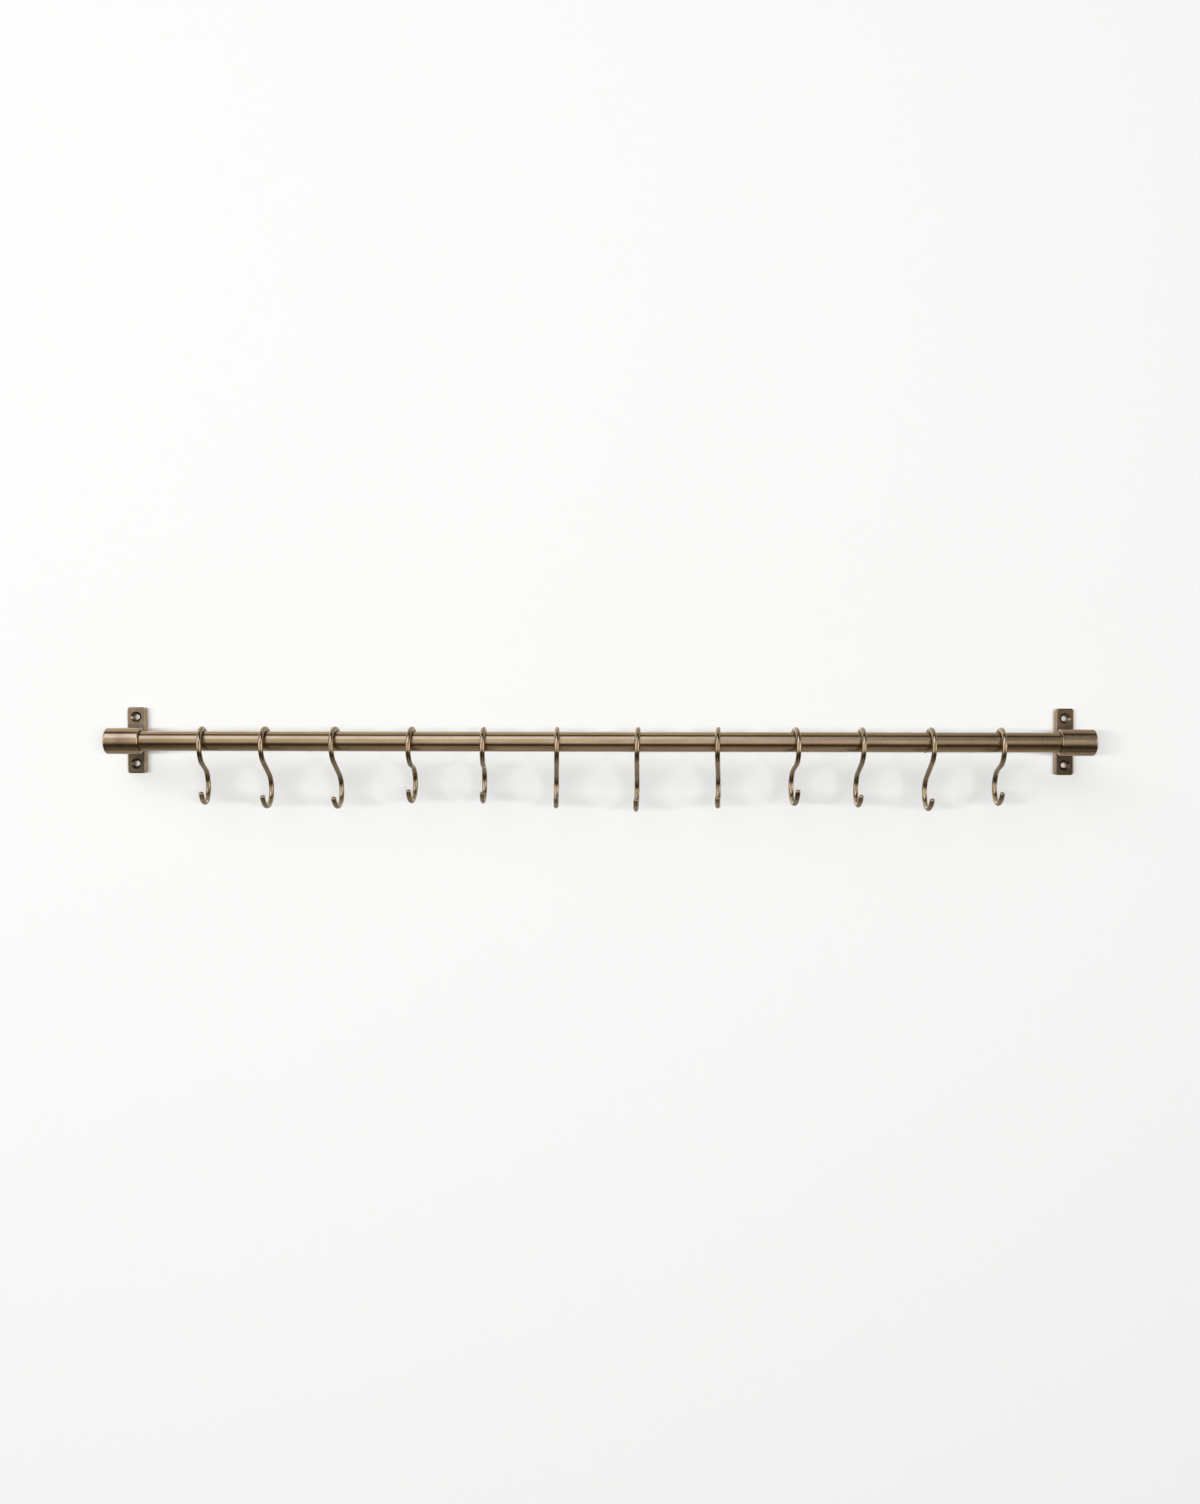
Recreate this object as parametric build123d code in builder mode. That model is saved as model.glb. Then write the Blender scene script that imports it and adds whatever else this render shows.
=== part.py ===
"""A wall-mounted pot rail: a tube held in two cast brackets, with twelve S hooks of bent wire.

Millimetres. X runs along the rail, +Z is up, and the room is on the -Y side of the wall.
The origin is on the wall, at the middle of the four wall-screw holes.
"""

from build123d import *

import os
from math import atan2, degrees

# The rail, a length of tube that is cut square at both ends.
rail_diameter = 19.05
rail_wall = 1.5
rail_standoff = 43.5  # from the wall to the rail's axis

# The brackets: a strap on the wall, a neck, and a cup that is closed at its outer end.
bracket_spacing = 914.4
strap_width = 18.0
strap_height = 65.5
strap_thickness = 8.0
strap_corner = 3.0
strap_edge = 1.5
neck_diameter = 13.0
neck_fillet = 1.5
cup_diameter = 25.4
cup_length = 33.5
cup_floor = 4.0
cup_end_edge = 2.0
cup_mouth_edge = 0.6
bore_lead = 0.8
rail_fit = 0.15  # radial clearance of the rail in its cups
rail_end_play = 0.5  # at each end

# The wall-screw holes, one above and one below the cup on each strap.
screw_spacing = 46.0
screw_hole = 5.5
screw_sink = 10.8
screw_sink_angle = 82.0

# The hooks. The wire is bent one way round a loop, runs straight, and is bent back round a bowl.
wire_diameter = 4.8
wire_end_edge = 2.0  # both ends are tumbled to a dome with a small flat
loop_radius = 17.6
loop_bend = 250.0
bowl_radius = 16.8
hook_gap = 0.3  # running gap between the hook and the top of the rail

# Each hook was bent by hand: its place on the rail, its turn and lean from square in degrees,
# the length of its straight run, and how many degrees its bowl is bent.
hooks = {
    "hook_1": (-381.0, 3.5, -2.4, 13.5, 226),
    "hook_2": (-320.5, -2.0, -2.0, 21.0, 217),
    "hook_3": (-253.0, -4.0, -2.7, 21.0, 211),
    "hook_4": (-179.5, -4.0, 0.0, 7.0, 241),
    "hook_5": (-110.5, 1.0, 0.2, 6.5, 233),
    "hook_6": (-40.0, 2.0, 0.7, 19.5, 214),
    "hook_7": (37.5, -2.5, 1.2, 25.0, 212),
    "hook_8": (114.5, -5.5, 0.0, 19.0, 214),
    "hook_9": (188.5, 4.5, 0.8, 13.0, 240),
    "hook_10": (251.5, 0.5, 2.9, 16.5, 220),
    "hook_11": (317.5, 1.5, 2.0, 23.0, 211),
    "hook_12": (384.5, -1.5, 2.0, 11.5, 232),
}

rail_radius = rail_diameter / 2
wire_radius = wire_diameter / 2
bracket_place = bracket_spacing / 2
cup_end = bracket_place + cup_length / 2
cup_mouth = cup_end - cup_length
rail_length = 2 * (cup_end - cup_floor - rail_end_play)
crest_height = rail_radius + hook_gap + wire_radius  # the wire's centreline over the rail's axis


# The rail lies between the floors of the two cups.
with BuildPart() as rail:
    with BuildSketch(Plane.YZ.offset(-rail_length / 2)):
        with Locations((-rail_standoff, 0)):
            Circle(rail_radius)
            Circle(rail_radius - rail_wall, mode=Mode.SUBTRACT)
    extrude(amount=rail_length)


# Each bracket is one casting. This is the right one, with its cup closed on the right.
with BuildPart() as right_bracket:
    # The strap has rounded corners and an eased rim round its front.
    with BuildSketch(Plane.XZ):
        with Locations((bracket_place, 0)):
            RectangleRounded(strap_width, strap_height, strap_corner)
    extrude(amount=strap_thickness)
    strap_front = right_bracket.faces().sort_by(Axis.Y)[0]
    fillet(strap_front.edges(), strap_edge)

    # The cup is a drum on the rail's axis, rounded at its closed end.
    with BuildSketch(Plane.YZ.offset(cup_mouth)):
        with Locations((-rail_standoff, 0)):
            Circle(cup_diameter / 2)
    extrude(amount=cup_length)
    fillet(right_bracket.edges().sort_by(Axis.X)[-1], cup_end_edge)
    chamfer(right_bracket.edges().sort_by(Axis.X)[0], cup_mouth_edge)

    # The neck joins the two, with a cast fillet at each end.
    with BuildSketch(Plane.XZ.offset(strap_thickness)):
        with Locations((bracket_place, 0)):
            Circle(neck_diameter / 2)
    extrude(amount=rail_standoff - strap_thickness)
    neck_ends = right_bracket.edges(Select.NEW).filter_by(GeomType.LINE, reverse=True)
    fillet(neck_ends, neck_fillet)

    # A blind bore with an eased mouth takes the rail's end.
    with BuildSketch(Plane.YZ.offset(cup_mouth)):
        with Locations((-rail_standoff, 0)):
            Circle(rail_radius + rail_fit)
    extrude(amount=cup_length - cup_floor, mode=Mode.SUBTRACT)
    cup_lip = right_bracket.faces().sort_by(Axis.X)[0]
    chamfer(cup_lip.inner_wires().edges(), bore_lead)

    # Countersunk holes for the wall screws go through the strap above and below the cup.
    with Locations(Plane.XZ.offset(strap_thickness)):
        with Locations((bracket_place, screw_spacing / 2), (bracket_place, -screw_spacing / 2)):
            CounterSinkHole(screw_hole / 2, screw_sink / 2, strap_thickness, screw_sink_angle)


# The left bracket is its mirror image.
with BuildPart() as left_bracket:
    mirror(right_bracket.part, about=Plane.YZ)


def bend_hook(run, bowl_bend):
    """A hook flat on the bench, with the loop's centre at the origin and the room on the right."""
    with BuildPart() as wire:
        with BuildLine() as path:
            loop = CenterArc((0, 0), loop_radius, loop_bend, -loop_bend)
            straight = Line(loop @ 1, (loop_radius, -run))
            JernArc(straight @ 1, straight % 1, bowl_radius, bowl_bend)
        with BuildSketch(Plane(origin=path.line @ 0, z_dir=path.line % 0)):
            Circle(wire_radius)
        sweep()
        wire_ends = wire.faces().filter_by(GeomType.PLANE)
        fillet(wire_ends.edges(), wire_end_edge)
    return wire.part


def hang(bent_wire, place, turn, lean):
    """The hook at rest: its loop's centre and its centre of mass are both straight below the rail's axis."""
    heavy = bent_wire.center(CenterOf.MASS)
    plumb = Rot(0, 0, degrees(atan2(-heavy.X, -heavy.Y)))
    facing_room = Plane((0, 0, crest_height - loop_radius), x_dir=(0, -1, 0), z_dir=(-1, 0, 0)).location
    return Pos(place, -rail_standoff, 0) * Rot(0, lean, turn) * facing_room * plumb * bent_wire


# The hooks hang in a row along the rail.
hung_hooks = {}
for hook_name, (place, turn, lean, run, bowl_bend) in hooks.items():
    hung_hooks[hook_name] = hang(bend_hook(run, bowl_bend), place, turn, lean)
    hung_hooks[hook_name].label = hook_name

rail.part.label = "rail"
left_bracket.part.label = "left_bracket"
right_bracket.part.label = "right_bracket"

os.makedirs("parts", exist_ok=True)
export_step(rail.part, "parts/rail.step")
export_step(left_bracket.part, "parts/left_bracket.step")
export_step(right_bracket.part, "parts/right_bracket.step")
for hook_name, hook in hung_hooks.items():
    export_step(hook, f"parts/{hook_name}.step")
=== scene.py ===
"""A wall-mounted pot rack in aged brass: a rail in two cast brackets, with twelve hooks of bent wire."""

from math import radians

import bpy
from mathutils import Matrix, Vector


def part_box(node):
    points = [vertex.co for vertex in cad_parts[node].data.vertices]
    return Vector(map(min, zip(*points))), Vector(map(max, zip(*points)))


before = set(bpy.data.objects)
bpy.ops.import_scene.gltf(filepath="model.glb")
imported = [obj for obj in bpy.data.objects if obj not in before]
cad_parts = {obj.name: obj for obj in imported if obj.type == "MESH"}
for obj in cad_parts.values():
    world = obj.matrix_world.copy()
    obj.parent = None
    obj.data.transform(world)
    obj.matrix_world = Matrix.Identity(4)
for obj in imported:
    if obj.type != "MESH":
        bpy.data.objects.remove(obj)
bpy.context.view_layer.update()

MM = 0.001
rail_low, rail_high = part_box("rail")
rail_axis = (rail_low + rail_high) / 2


def linear(hex_colour):
    """An sRGB colour such as "#8B7759" as the linear red, green, blue and alpha that shaders take."""
    shades = [int(hex_colour[i:i + 2], 16) / 255 for i in (1, 3, 5)]
    return [s / 12.92 if s <= 0.04045 else ((s + 0.055) / 1.055) ** 2.4 for s in shades] + [1.0]


def add_node(tree, kind, inputs=None, **settings):
    """Adds a shader node, sets its properties, and sets or links each input by its name or number."""
    node = tree.nodes.new(kind)
    for name, value in settings.items():
        setattr(node, name, value)
    for name, value in (inputs or {}).items():
        if isinstance(value, bpy.types.NodeSocket):
            tree.links.new(value, node.inputs[name])
        else:
            node.inputs[name].default_value = value
    return node


def new_material(name):
    """An empty node material and the tree to fill."""
    material = bpy.data.materials.new(name)
    material.use_nodes = True
    material.node_tree.nodes.clear()
    return material, material.node_tree


# Belt-polished brass under patina and lacquer. The belt's scratches run round the tube, so they smear each
# reflection along it but keep it crisp from top to bottom. The patina lies in soft clouds, a little uneven.
# True scratches are about 0.1 mm apart, which is too fine to show, so these are drawn coarser.
rail_tone = linear("#80694C")
rail_tone_rubbed = linear("#8B7557")
cloud_length = 45 * MM
cloud_width = 9 * MM
belt_scratch_spacing = 0.6 * MM
belt_scratch_length = 30 * MM
belt_scratch_depth = 0.03 * MM
roughness_between_scratches = 0.2
roughness_in_scratches = 0.25

rail_brass, tree = new_material("belt_polished_patinated_brass")
place = add_node(tree, "ShaderNodeTexCoord").outputs["Object"]
cloud_space = add_node(tree, "ShaderNodeMapping", {
    "Vector": place, "Scale": (1 / cloud_length, 1 / cloud_width, 1 / cloud_width)})
clouds = add_node(tree, "ShaderNodeTexNoise", {
    "Vector": cloud_space.outputs[0], "Scale": 1.0, "Detail": 3.0, "Roughness": 0.55})
scratch_space = add_node(tree, "ShaderNodeMapping", {
    "Vector": place, "Scale": (1 / belt_scratch_spacing, 1 / belt_scratch_length, 1 / belt_scratch_length)})
scratches = add_node(tree, "ShaderNodeTexNoise", {
    "Vector": scratch_space.outputs[0], "Scale": 1.0, "Detail": 2.0, "Roughness": 0.6})
patina = add_node(tree, "ShaderNodeMapRange", {
    "Value": clouds.outputs["Fac"], "From Min": 0.3, "From Max": 0.7}, interpolation_type="SMOOTHSTEP")
tone = add_node(tree, "ShaderNodeMix", {
    "Factor": patina.outputs[0], "A": rail_tone, "B": rail_tone_rubbed}, data_type="RGBA")
gloss = add_node(tree, "ShaderNodeMapRange", {
    "Value": scratches.outputs["Fac"], "From Min": 0.3, "From Max": 0.7,
    "To Min": roughness_between_scratches, "To Max": roughness_in_scratches})
relief = add_node(tree, "ShaderNodeBump", {
    "Height": scratches.outputs["Fac"], "Strength": 0.03, "Distance": belt_scratch_depth})
along_rail = add_node(tree, "ShaderNodeVectorTransform", {
    0: (1, 0, 0)}, vector_type="VECTOR", convert_from="OBJECT", convert_to="WORLD")
surface = add_node(tree, "ShaderNodeBsdfPrincipled", {
    "Base Color": tone.outputs["Result"], "Metallic": 1.0, "Roughness": gloss.outputs[0],
    "Anisotropic": 0.85, "Tangent": along_rail.outputs[0], "Normal": relief.outputs[0],
    "Coat Weight": 0.25, "Coat Roughness": 0.1})
add_node(tree, "ShaderNodeOutputMaterial", {"Surface": surface.outputs[0]})

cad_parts["rail"].material_slots[0].material = rail_brass

# Each bracket is one brass casting of a strap, a neck and a cup. The cup was turned on a lathe, and the
# strap's face was linished across and its two screw holes countersunk, before the same patina and lacquer.
bracket_low, bracket_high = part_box("right_bracket")
cup_radius = rail_axis.y - bracket_low.y
cup_middle = (bracket_low.x + bracket_high.x) / 2
strap_half_width = 9.0 * MM
rim_width = 1.5 * MM
screw_hole_height = 23.0 * MM
countersink_radius = 5.4 * MM

# Cast brass, turned on the cup and linished on the strap. The turning marks run round the cup as the belt's
# do round the rail. The strap's lie across it, so it takes up light from above and below. They are drawn
# coarser than the real tool marks, which are too fine to show. The patina is darkest in the countersinks,
# where the polishing wheel doesn't reach. Round the neck the strap is darkened with patina and painted
# shade of the cup, and below the cup with painted shade alone.
bracket_tone = linear("#947D60")
bracket_tone_dark = linear("#826B51")
# The dark colour of the countersinks' patina, also used as painted shade round the neck and below the cup.
patina_and_shade_tone = linear("#483828")
casting_cloud = 14 * MM
turning_mark_spacing = 0.5 * MM
turning_mark_length = 20 * MM
turning_mark_depth = 0.03 * MM
linished_roughness = 0.52
turned_roughness = 0.22
# How dark the neck's patina and painted shade, and the painted shade below the cup, are made.
patina_and_shade_depth = 0.5
countersink_patina = 0.8

bracket_brass, tree = new_material("cast_patinated_brass")
place = add_node(tree, "ShaderNodeTexCoord").outputs["Object"]
clouds = add_node(tree, "ShaderNodeTexNoise", {
    "Vector": place, "Scale": 1 / casting_cloud, "Detail": 3.0, "Roughness": 0.55})
patina = add_node(tree, "ShaderNodeMapRange", {
    "Value": clouds.outputs["Fac"], "From Min": 0.32, "From Max": 0.68}, interpolation_type="SMOOTHSTEP")
open_tone = add_node(tree, "ShaderNodeMix", {
    "Factor": patina.outputs[0], "A": bracket_tone_dark, "B": bracket_tone}, data_type="RGBA")

# How far each point is from the rail's axis tells the cup from the neck and strap.
cup_finish_start = cup_radius + 0.5 * MM
cup_finish_full = cup_radius + 0.1 * MM
across = add_node(tree, "ShaderNodeVectorMath", {0: place, 1: (0, 1, 1)}, operation="MULTIPLY")
from_axis = add_node(tree, "ShaderNodeVectorMath", {
    0: across.outputs[0], 1: (0, rail_axis.y, rail_axis.z)}, operation="DISTANCE")
on_cup = add_node(tree, "ShaderNodeMapRange", {
    "Value": from_axis.outputs["Value"], "From Min": cup_finish_start,
    "From Max": cup_finish_full}).outputs[0]

# Both brackets are measured from their own middle, and the screw holes of a strap as one.
folded = add_node(tree, "ShaderNodeVectorMath", {0: place}, operation="ABSOLUTE")
from_middle = add_node(tree, "ShaderNodeVectorMath", {
    0: folded.outputs[0], 1: (cup_middle, 0, 0)}, operation="SUBTRACT")
on_strap = add_node(tree, "ShaderNodeVectorMath", {
    0: from_middle.outputs[0], 1: (1, 0, 1)}, operation="MULTIPLY").outputs[0]
from_neck = add_node(tree, "ShaderNodeVectorMath", {0: on_strap}, operation="LENGTH").outputs["Value"]
from_screw = add_node(tree, "ShaderNodeVectorMath", {
    0: on_strap, 1: (0, 0, screw_hole_height)}, operation="DISTANCE").outputs["Value"]
height = add_node(tree, "ShaderNodeSeparateXYZ", {0: place}).outputs["Z"]

# The strap darkens into the screw holes, where the patina thickens. Towards the neck it darkens with patina
# and painted shade of the cup, and down from the rail's height with painted shade alone.
neck_patina_and_shade_start = 20 * MM
neck_patina_and_shade_full = 10 * MM
lower_painted_shade_full = -12 * MM
screw_patina_start = countersink_radius - 1.6 * MM
screw_patina_full = countersink_radius - 2.5 * MM
# Patina and painted shade of the cup, in a ring round the neck.
neck_patina_and_painted_shade = add_node(tree, "ShaderNodeMapRange", {
    "Value": from_neck, "From Min": neck_patina_and_shade_start, "From Max": neck_patina_and_shade_full, "To Max": patina_and_shade_depth},
    interpolation_type="SMOOTHSTEP").outputs[0]
# Painted shade: the strap below the rail's height is darkened where the cup shades it.
painted_shade_below_cup = add_node(tree, "ShaderNodeMapRange", {
    "Value": height, "From Min": 0.0, "From Max": lower_painted_shade_full, "To Max": patina_and_shade_depth},
    interpolation_type="SMOOTHSTEP").outputs[0]
in_screw_hole = add_node(tree, "ShaderNodeMapRange", {
    "Value": from_screw, "From Min": screw_patina_start, "From Max": screw_patina_full,
    "To Max": countersink_patina}).outputs[0]
cup_patina_and_painted_shade = add_node(tree, "ShaderNodeMath", {0: neck_patina_and_painted_shade, 1: painted_shade_below_cup}, operation="MAXIMUM")
patina_and_painted_shade = add_node(tree, "ShaderNodeMath", {
    0: cup_patina_and_painted_shade.outputs[0], 1: in_screw_hole}, operation="MAXIMUM")

# The strap's rim was rubbed bright again, and it and the cup get none of the patina or painted shade.
off_centre = add_node(tree, "ShaderNodeVectorMath", {0: on_strap}, operation="ABSOLUTE")
from_centre = add_node(tree, "ShaderNodeSeparateXYZ", {0: off_centre.outputs[0]})
side_rim = add_node(tree, "ShaderNodeMapRange", {
    "Value": from_centre.outputs["X"], "From Min": strap_half_width - rim_width,
    "From Max": strap_half_width - rim_width / 2})
end_rim = add_node(tree, "ShaderNodeMapRange", {
    "Value": from_centre.outputs["Z"], "From Min": bracket_high.z - rim_width,
    "From Max": bracket_high.z - rim_width / 2})
rubbed = add_node(tree, "ShaderNodeMath", {
    0: side_rim.outputs[0], 1: end_rim.outputs[0]}, operation="MAXIMUM")
polished = add_node(tree, "ShaderNodeMath", {0: on_cup, 1: rubbed.outputs[0]}, operation="MAXIMUM").outputs[0]
dull = add_node(tree, "ShaderNodeMath", {0: 1.0, 1: polished}, operation="SUBTRACT")
darkened = add_node(tree, "ShaderNodeMath", {
    0: patina_and_painted_shade.outputs[0], 1: dull.outputs[0]}, operation="MULTIPLY")
tone = add_node(tree, "ShaderNodeMix", {
    "Factor": darkened.outputs[0], "A": open_tone.outputs["Result"], "B": patina_and_shade_tone}, data_type="RGBA")

# The countersinks' cones are as glossy as the cup, and each part's marks smear its reflections their own way.
cone_edge = countersink_radius + 0.3 * MM
in_cone = add_node(tree, "ShaderNodeMapRange", {
    "Value": from_screw, "From Min": cone_edge, "From Max": countersink_radius}).outputs[0]
glossy = add_node(tree, "ShaderNodeMath", {0: polished, 1: in_cone}, operation="MAXIMUM")
gloss = add_node(tree, "ShaderNodeMapRange", {
    "Value": glossy.outputs[0], "To Min": linished_roughness, "To Max": turned_roughness})
mark_space = add_node(tree, "ShaderNodeMapping", {
    "Vector": place, "Scale": (1 / turning_mark_spacing, 1 / turning_mark_length, 1 / turning_mark_length)})
turning_marks = add_node(tree, "ShaderNodeTexNoise", {
    "Vector": mark_space.outputs[0], "Scale": 1.0, "Detail": 2.0, "Roughness": 0.6})
relief = add_node(tree, "ShaderNodeBump", {
    "Height": turning_marks.outputs["Fac"], "Strength": 0.03, "Distance": turning_mark_depth})
strap_smear = add_node(tree, "ShaderNodeMix", {
    "Factor": in_cone, "A": (0, 0, 1), "B": (0, 1, 0)}, data_type="VECTOR")
smear = add_node(tree, "ShaderNodeMix", {
    "Factor": on_cup, "A": strap_smear.outputs["Result"], "B": (1, 0, 0)}, data_type="VECTOR")
surface = add_node(tree, "ShaderNodeBsdfPrincipled", {
    "Base Color": tone.outputs["Result"], "Metallic": 1.0, "Roughness": gloss.outputs[0],
    "Anisotropic": 0.88, "Tangent": smear.outputs["Result"], "Normal": relief.outputs[0],
    "Coat Weight": 0.25, "Coat Roughness": 0.12})
add_node(tree, "ShaderNodeOutputMaterial", {"Surface": surface.outputs[0]})

for bracket in ("left_bracket", "right_bracket"):
    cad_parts[bracket].material_slots[0].material = bracket_brass

# The twelve S hooks are each bent by hand from one length of drawn brass wire, with both ends domed. They
# were tumbled bright before the patina bath, and are glossier than the rail and the brackets.

# Tumbled brass wire. It mirrors the room in narrow bright and dark lines, a little soft, that wander where
# the wire was squeezed round the bending pins, and the patina is warmer and thinner than on the rail.
wire_tone = linear("#917C60")
wire_tone_dark = linear("#79664C")
wire_cloud = 9 * MM
tumbling_dent = 1.6 * MM
tumbling_dent_depth = 0.06 * MM
roughness_under_patina = 0.15
roughness_where_thin = 0.11

hook_brass, tree = new_material("tumbled_patinated_brass_wire")
place = add_node(tree, "ShaderNodeTexCoord").outputs["Object"]
clouds = add_node(tree, "ShaderNodeTexNoise", {
    "Vector": place, "Scale": 1 / wire_cloud, "Detail": 3.0, "Roughness": 0.55})
patina = add_node(tree, "ShaderNodeMapRange", {
    "Value": clouds.outputs["Fac"], "From Min": 0.32, "From Max": 0.68}, interpolation_type="SMOOTHSTEP")
tone = add_node(tree, "ShaderNodeMix", {
    "Factor": patina.outputs[0], "A": wire_tone_dark, "B": wire_tone}, data_type="RGBA")
gloss = add_node(tree, "ShaderNodeMapRange", {
    "Value": patina.outputs[0], "To Min": roughness_under_patina, "To Max": roughness_where_thin})
dents = add_node(tree, "ShaderNodeTexNoise", {"Vector": place, "Scale": 1 / tumbling_dent, "Detail": 1.0})
relief = add_node(tree, "ShaderNodeBump", {
    "Height": dents.outputs["Fac"], "Strength": 0.12, "Distance": tumbling_dent_depth})
surface = add_node(tree, "ShaderNodeBsdfPrincipled", {
    "Base Color": tone.outputs["Result"], "Metallic": 1.0, "Roughness": gloss.outputs[0],
    "Normal": relief.outputs[0], "Coat Weight": 0.35, "Coat Roughness": 0.06})
add_node(tree, "ShaderNodeOutputMaterial", {"Surface": surface.outputs[0]})

for piece_name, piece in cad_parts.items():
    if piece_name.startswith("hook_"):
        piece.material_slots[0].material = hook_brass

# The wall that the rack is screwed to, and the floor far below it, are plain painted surfaces. The wall
# shows from its front only, so that the back of the rack can be looked at. The metal mirrors neither.
wall_half_width = 8.0
wall_height = 3.0
wall_gap = 0.4 * MM
floor_depth = 1.6  # below the rack, out of the main picture
room_depth = 9.0

# Matt white wall paint, put on with a roller. It is chalky and even, with a grain too faint to notice.
wall_tone = linear("#E6E6E5")
roller_grain = 1.5 * MM
roller_grain_depth = 0.1 * MM

wall_paint, tree = new_material("matt_white_paint")
place = add_node(tree, "ShaderNodeTexCoord").outputs["Object"]
grain = add_node(tree, "ShaderNodeTexNoise", {"Vector": place, "Scale": 1 / roller_grain, "Detail": 2.0})
relief = add_node(tree, "ShaderNodeBump", {
    "Height": grain.outputs["Fac"], "Strength": 0.02, "Distance": roller_grain_depth})
matt = add_node(tree, "ShaderNodeBsdfPrincipled", {
    "Base Color": wall_tone, "Roughness": 0.9, "Specular IOR Level": 0.1, "Normal": relief.outputs[0]})
clear = add_node(tree, "ShaderNodeBsdfTransparent")
facing = add_node(tree, "ShaderNodeNewGeometry").outputs["Backfacing"]
one_sided = add_node(tree, "ShaderNodeMixShader", {0: facing, 1: matt.outputs[0], 2: clear.outputs[0]})
add_node(tree, "ShaderNodeOutputMaterial", {"Surface": one_sided.outputs[0]})

# Pale floor paint, matt and even. Lamps that aren't built light it, so it gives off most of its light itself.
floor_tone = linear("#7C7C7B")
floor_glow = linear("#DADAD9")

floor_paint, tree = new_material("pale_floor_paint")
surface = add_node(tree, "ShaderNodeBsdfPrincipled", {
    "Base Color": floor_tone, "Roughness": 0.9, "Specular IOR Level": 0.1,
    "Emission Color": floor_glow, "Emission Strength": 1.0})
add_node(tree, "ShaderNodeOutputMaterial", {"Surface": surface.outputs[0]})


def flat_sheet(name, material, corners):
    """A plain rectangle that faces the side its corners go round anticlockwise from."""
    mesh = bpy.data.meshes.new(name)
    mesh.from_pydata(corners, [], [(0, 1, 2, 3)])
    sheet = bpy.data.objects.new(name, mesh)
    bpy.context.scene.collection.objects.link(sheet)
    mesh.materials.append(material)
    sheet.visible_glossy = False
    return sheet


wall = flat_sheet("wall", wall_paint, [
    (-wall_half_width, wall_gap, -floor_depth), (wall_half_width, wall_gap, -floor_depth),
    (wall_half_width, wall_gap, wall_height), (-wall_half_width, wall_gap, wall_height)])
wall.visible_shadow = False
floor = flat_sheet("floor", floor_paint, [
    (-wall_half_width, -room_depth, -floor_depth), (wall_half_width, -room_depth, -floor_depth),
    (wall_half_width, room_depth, -floor_depth), (-wall_half_width, room_depth, -floor_depth)])
floor.visible_diffuse = False

# The studio as the metal mirrors it: a white wall behind, a bright panel high on the left, a plain panel in
# front, one at each side, a reflector below, light spilling round the panels, and dark gaps between them.
# As a lamp of its own it would light the paint as strongly as the metal, so it isn't sampled as one.
world = bpy.data.worlds.new("studio")
bpy.context.scene.world = world
world.use_nodes = True
world.cycles.sampling_method = "NONE"
tree = world.node_tree
tree.nodes.clear()
direction = add_node(tree, "ShaderNodeTexCoord").outputs["Generated"]
parts = add_node(tree, "ShaderNodeSeparateXYZ", {0: direction})
towards_room = add_node(tree, "ShaderNodeMath", {0: parts.outputs["Y"], 1: -1.0}, operation="MULTIPLY")
pitch = add_node(tree, "ShaderNodeMath", {
    0: parts.outputs["Z"], 1: towards_room.outputs[0]}, operation="ARCTAN2").outputs[0]
side = add_node(tree, "ShaderNodeMath", {0: parts.outputs["X"]}, operation="ARCSINE").outputs[0]

# Each panel, in degrees: lowest and highest pitch (0 is level into the room, 90 is straight up, 180 is the
# wall), leftmost and rightmost angle, and how soft its edges are up and down and sideways. Then its light.
panels = {
    "high_left_panel": ((27, 65), (-40, 7), (10, 9), (2.25, 2.6, 3.6)),
    "high_left_core": ((33, 54), (-14, 3), (12, 8), (0.75, 0.88, 1.2)),
    "high_left_spill": ((20, 76), (-75, 0), (12, 16), (0.23, 0.3, 0.42)),
    "front_panel": ((-21, 26), (-17, 12), (7, 10), (1.38, 1.53, 1.82)),
    "front_spill": ((-9, 24), (-32, 30), (10, 10), (0.62, 0.64, 0.7)),
    "left_side": ((-35, 60), (-95, -42), (30, 12), (3.0, 3.0, 3.0)),
    "right_side": ((-35, 60), (42, 95), (30, 12), (3.3, 3.3, 3.3)),
    "middle_fill": ((-60, 100), (-17, 14), (20, 8), (0.14, 0.13, 0.105)),
    "low_reflector": ((-104, -56), (-15, 14), (6, 6), (0.78, 0.77, 0.74)),
    "wall_above": ((92, 200), (-95, 95), (8, 5), (0.75, 0.73, 0.68)),
    "wall_above_left": ((88, 200), (-75, 6), (8, 14), (0.55, 0.53, 0.5)),
    "wall_below": ((-200, -96), (-95, 95), (10, 5), (0.55, 0.53, 0.5)),
}
room_shade = (0.07, 0.063, 0.053)

light = room_shade
for name, (pitches, sides, softness, strength) in panels.items():
    cover = None
    for angle, (low, high), soft in ((pitch, pitches, softness[0]), (side, sides, softness[1])):
        for edge, inside in ((low, 1), (high, -1)):
            ramp = add_node(tree, "ShaderNodeMapRange", {
                "Value": angle,
                "From Min": radians(edge - inside * soft / 2),
                "From Max": radians(edge + inside * soft / 2)}, interpolation_type="SMOOTHSTEP").outputs[0]
            if cover is None:
                cover = ramp
            else:
                cover = add_node(tree, "ShaderNodeMath", {0: cover, 1: ramp}, operation="MULTIPLY").outputs[0]
    light = add_node(tree, "ShaderNodeVectorMath", {
        0: cover, 1: strength, 2: light}, operation="MULTIPLY_ADD", label=name).outputs[0]

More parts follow.
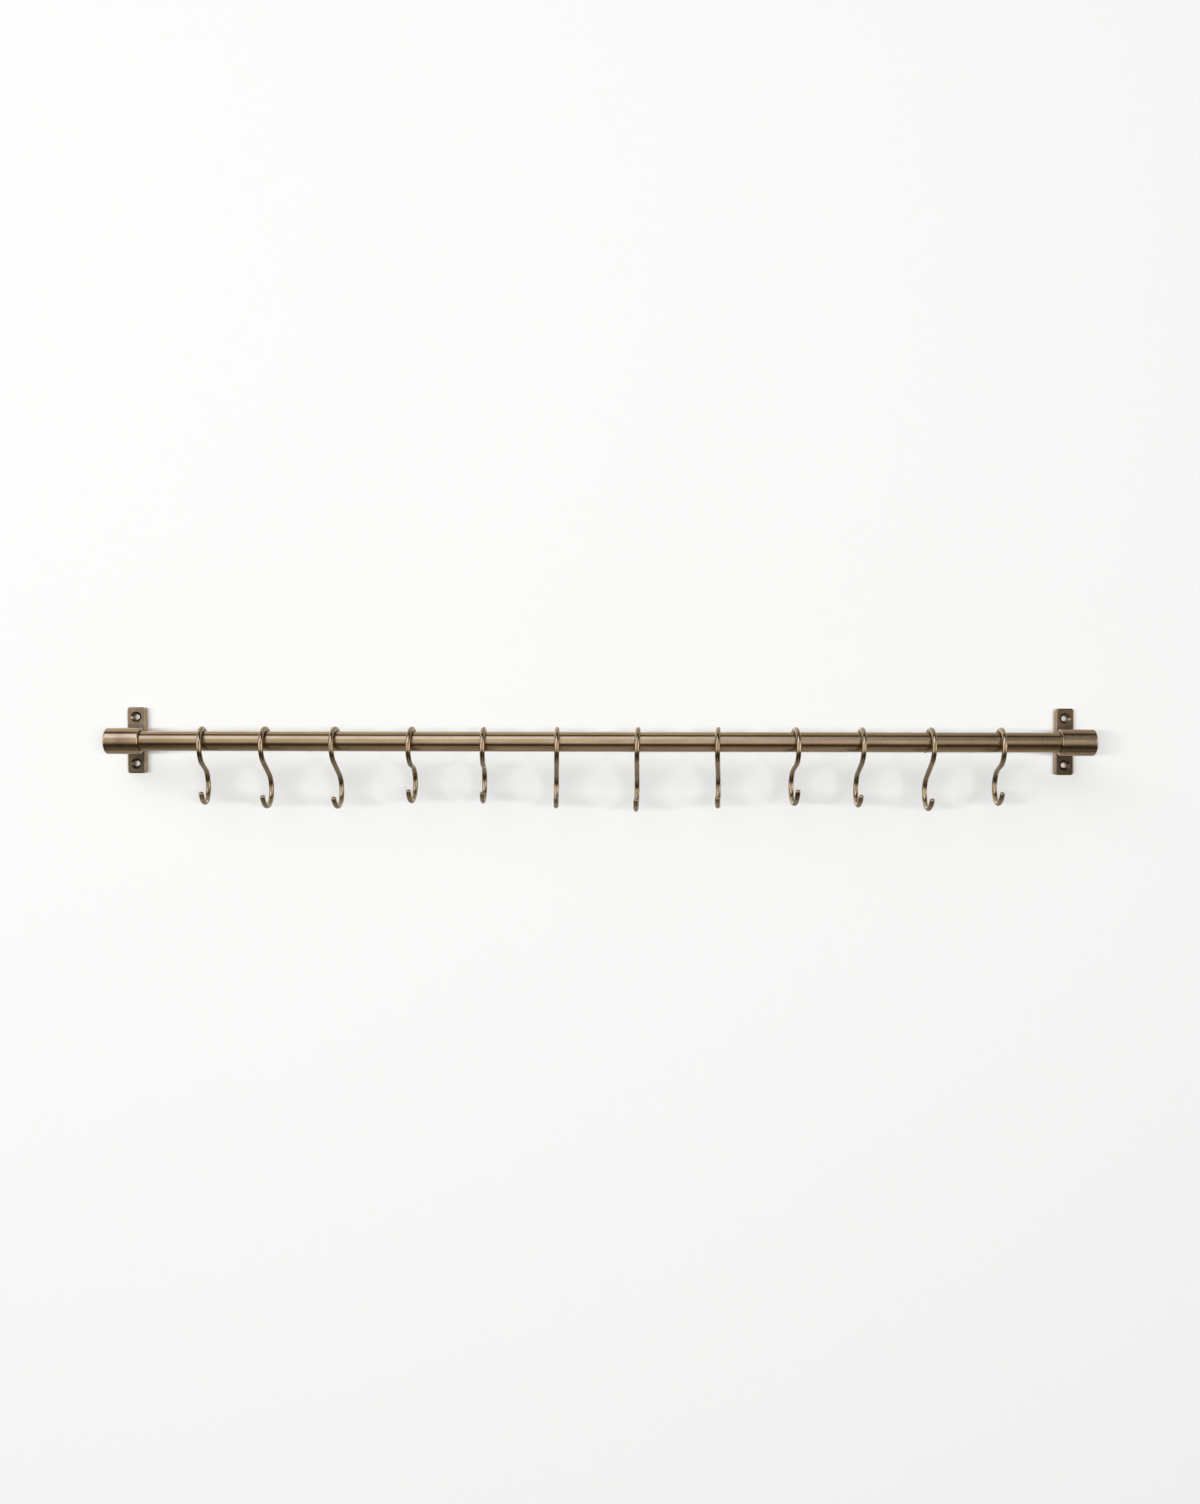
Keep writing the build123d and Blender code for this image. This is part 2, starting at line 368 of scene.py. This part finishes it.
# Painted surfaces get only an even, weak light from it, and the camera sees it as a plain backdrop.
fill_strength = 0.12
studio = add_node(tree, "ShaderNodeBackground", {"Color": light, "Strength": 1.0})
even_fill = add_node(tree, "ShaderNodeBackground", {"Color": (1, 1, 1, 1), "Strength": fill_strength})
backdrop = add_node(tree, "ShaderNodeBackground", {"Color": linear("#F6F6F5"), "Strength": 1.0})
ray = add_node(tree, "ShaderNodeLightPath")
off_camera = add_node(tree, "ShaderNodeMixShader", {
    0: ray.outputs["Is Diffuse Ray"], 1: studio.outputs[0], 2: even_fill.outputs[0]})
shown = add_node(tree, "ShaderNodeMixShader", {
    0: ray.outputs["Is Camera Ray"], 1: off_camera.outputs[0], 2: backdrop.outputs[0]})
add_node(tree, "ShaderNodeOutputWorld", {"Surface": shown.outputs[0]})

# Two softboxes light the wall and the floor, and the metal mirrors neither. A broad one behind the camera
# does most of it, and one high on the left casts the soft shadows below and to the right of the rack.


def hang_softbox(name, centre, width, height, watts):
    """A rectangular area light that faces the middle of the rack."""
    lamp_data = bpy.data.lights.new(name, "AREA")
    lamp_data.shape = "RECTANGLE"
    lamp_data.size = width
    lamp_data.size_y = height
    lamp_data.energy = watts
    lamp = bpy.data.objects.new(name, lamp_data)
    bpy.context.scene.collection.objects.link(lamp)
    lamp.location = centre
    lamp.rotation_euler = (-Vector(centre)).to_track_quat("-Z", "Y").to_euler()
    lamp.visible_glossy = False
    lamp.visible_camera = False


hang_softbox("broad_softbox", centre=(-0.5, -5.0, 0.11), width=7.0, height=0.3, watts=293)
hang_softbox("high_softbox", centre=(-2.4, -4.4, 4.1), width=8.0, height=2.4, watts=142)

# The camera stands a little right of the middle and above the rail, and looks slightly down.
photo_width, photo_height = 1200, 1504
focal_pixels = 1411.5
film_width = 36.0
camera_from_rail = Vector((15.1, -1354.0, 28.0)) * MM
yaw, pitch_down, roll = radians(0.581), radians(-1.6), radians(-0.096)

lens = bpy.data.cameras.new("camera")
lens.sensor_width = film_width
lens.lens = focal_pixels * film_width / max(photo_width, photo_height)
camera = bpy.data.objects.new("camera", lens)
bpy.context.scene.collection.objects.link(camera)
camera.matrix_world = (
    Matrix.Translation(rail_axis + camera_from_rail)
    @ Matrix.Rotation(yaw, 4, "Z") @ Matrix.Rotation(pitch_down, 4, "X") @ Matrix.Rotation(roll, 4, "Y")
    @ Matrix.Rotation(radians(90), 4, "X"))
bpy.context.scene.camera = camera
bpy.context.scene.view_settings.view_transform = "Standard"
